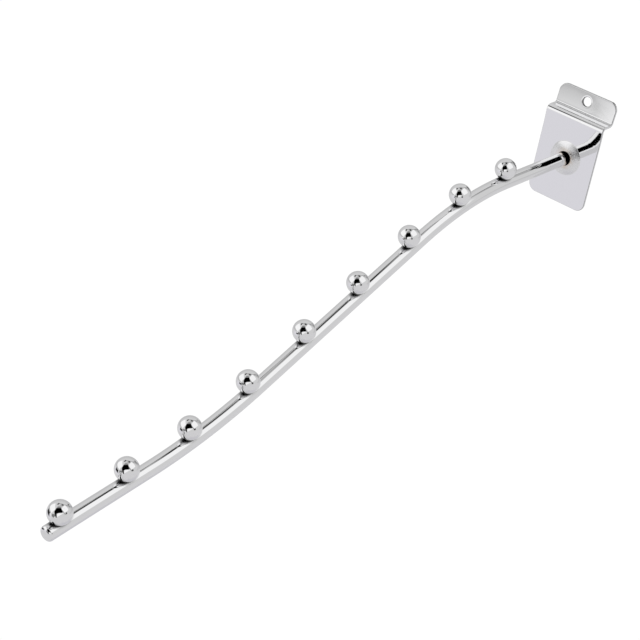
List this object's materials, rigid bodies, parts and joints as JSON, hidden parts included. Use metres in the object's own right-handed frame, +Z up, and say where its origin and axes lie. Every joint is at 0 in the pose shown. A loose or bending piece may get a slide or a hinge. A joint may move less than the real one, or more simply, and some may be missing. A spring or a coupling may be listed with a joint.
{
  "type": "slatwall waterfall hook",
  "caption": "Chrome slatwall hook: a folded back plate with a domed root, a long bar bent down and a little back up, and a row of welded balls that keep hangers apart.",
  "frame": {"origin": "Corner of the slat that the hook hangs on: X at the plate's middle, Y on the plate's back face, Z on the underside of the web.", "axes": "+X across the plate, +Y into the panel, +Z up. The bar runs out along -Y."},
  "size_m": [0.049, 0.5017, 0.1682],
  "materials": {
    "chrome_plating": "polished"
  },
  "bodies": {
    "root": {"back_plate": "chrome_plating", "arm_rod": "chrome_plating", "root_weld": "chrome_plating", "ball_1": "chrome_plating", "ball_2": "chrome_plating", "ball_3": "chrome_plating", "ball_4": "chrome_plating", "ball_5": "chrome_plating", "ball_6": "chrome_plating", "ball_7": "chrome_plating", "ball_8": "chrome_plating", "ball_9": "chrome_plating"}
  },
  "joints": []
}
